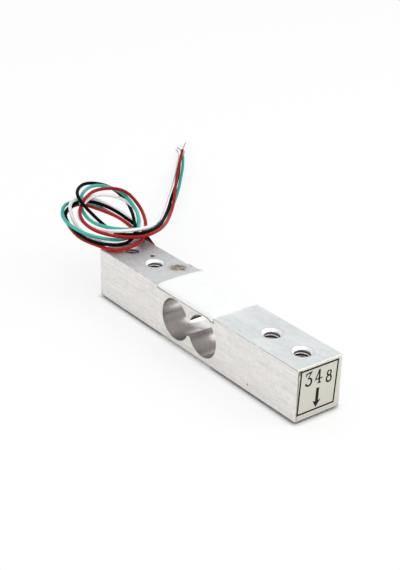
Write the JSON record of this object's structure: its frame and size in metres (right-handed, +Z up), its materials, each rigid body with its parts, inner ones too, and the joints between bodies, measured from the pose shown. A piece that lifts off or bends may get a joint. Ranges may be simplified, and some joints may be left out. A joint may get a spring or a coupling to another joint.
{
  "type": "straight-bar weighing load cell",
  "caption": "Drilled aluminium bar load cell with strain gauges under white silicone, tapped holes at both ends, a label on the load end and loose coloured leads.",
  "frame": {"origin": "under the middle of the bar, on the surface that the lower silicone coat rests on", "axes": "+X along the bar to the load end with the label, +Y to the side that the leads leave by, +Z up to the loaded face"},
  "size_m": [0.157, 0.0894, 0.0214],
  "materials": {
    "beam": "bare milled aluminium with fine lengthwise marks",
    "backing": "amber film",
    "foil": "etched resistance foil",
    "silicone": "cured white silicone, uneven",
    "board": "thin laminate",
    "pad": "copper pads",
    "solder": "dull solder",
    "wire": "enamelled copper",
    "lead_red": "smooth insulation",
    "lead_black": "smooth insulation",
    "lead_white": "smooth insulation",
    "lead_green": "smooth insulation",
    "core": "tinned stranded copper",
    "label": "printed paper sticker"
  },
  "bodies": {
    "root": {"spring_beam": "beam", "gauge_backing_lower_far": "backing", "gauge_backing_lower_near": "backing", "gauge_backing_upper_far": "backing", "gauge_backing_upper_near": "backing", "gauge_grid_lower_far": "foil", "gauge_grid_lower_near": "foil", "gauge_grid_upper_far": "foil", "gauge_grid_upper_near": "foil", "top_coat": "silicone", "bottom_coat": "silicone", "back_coat": "silicone", "terminal_board": "board", "terminal_pads": "pad", "solder_joints": "solder", "upper_wires": "wire", "lower_wires": "wire", "lead_red": "lead_red", "lead_black": "lead_black", "lead_white": "lead_white", "lead_green": "lead_green", "core_red": "core", "core_black": "core", "core_white": "core", "core_green": "core", "rating_label": "label"}
  },
  "joints": []
}
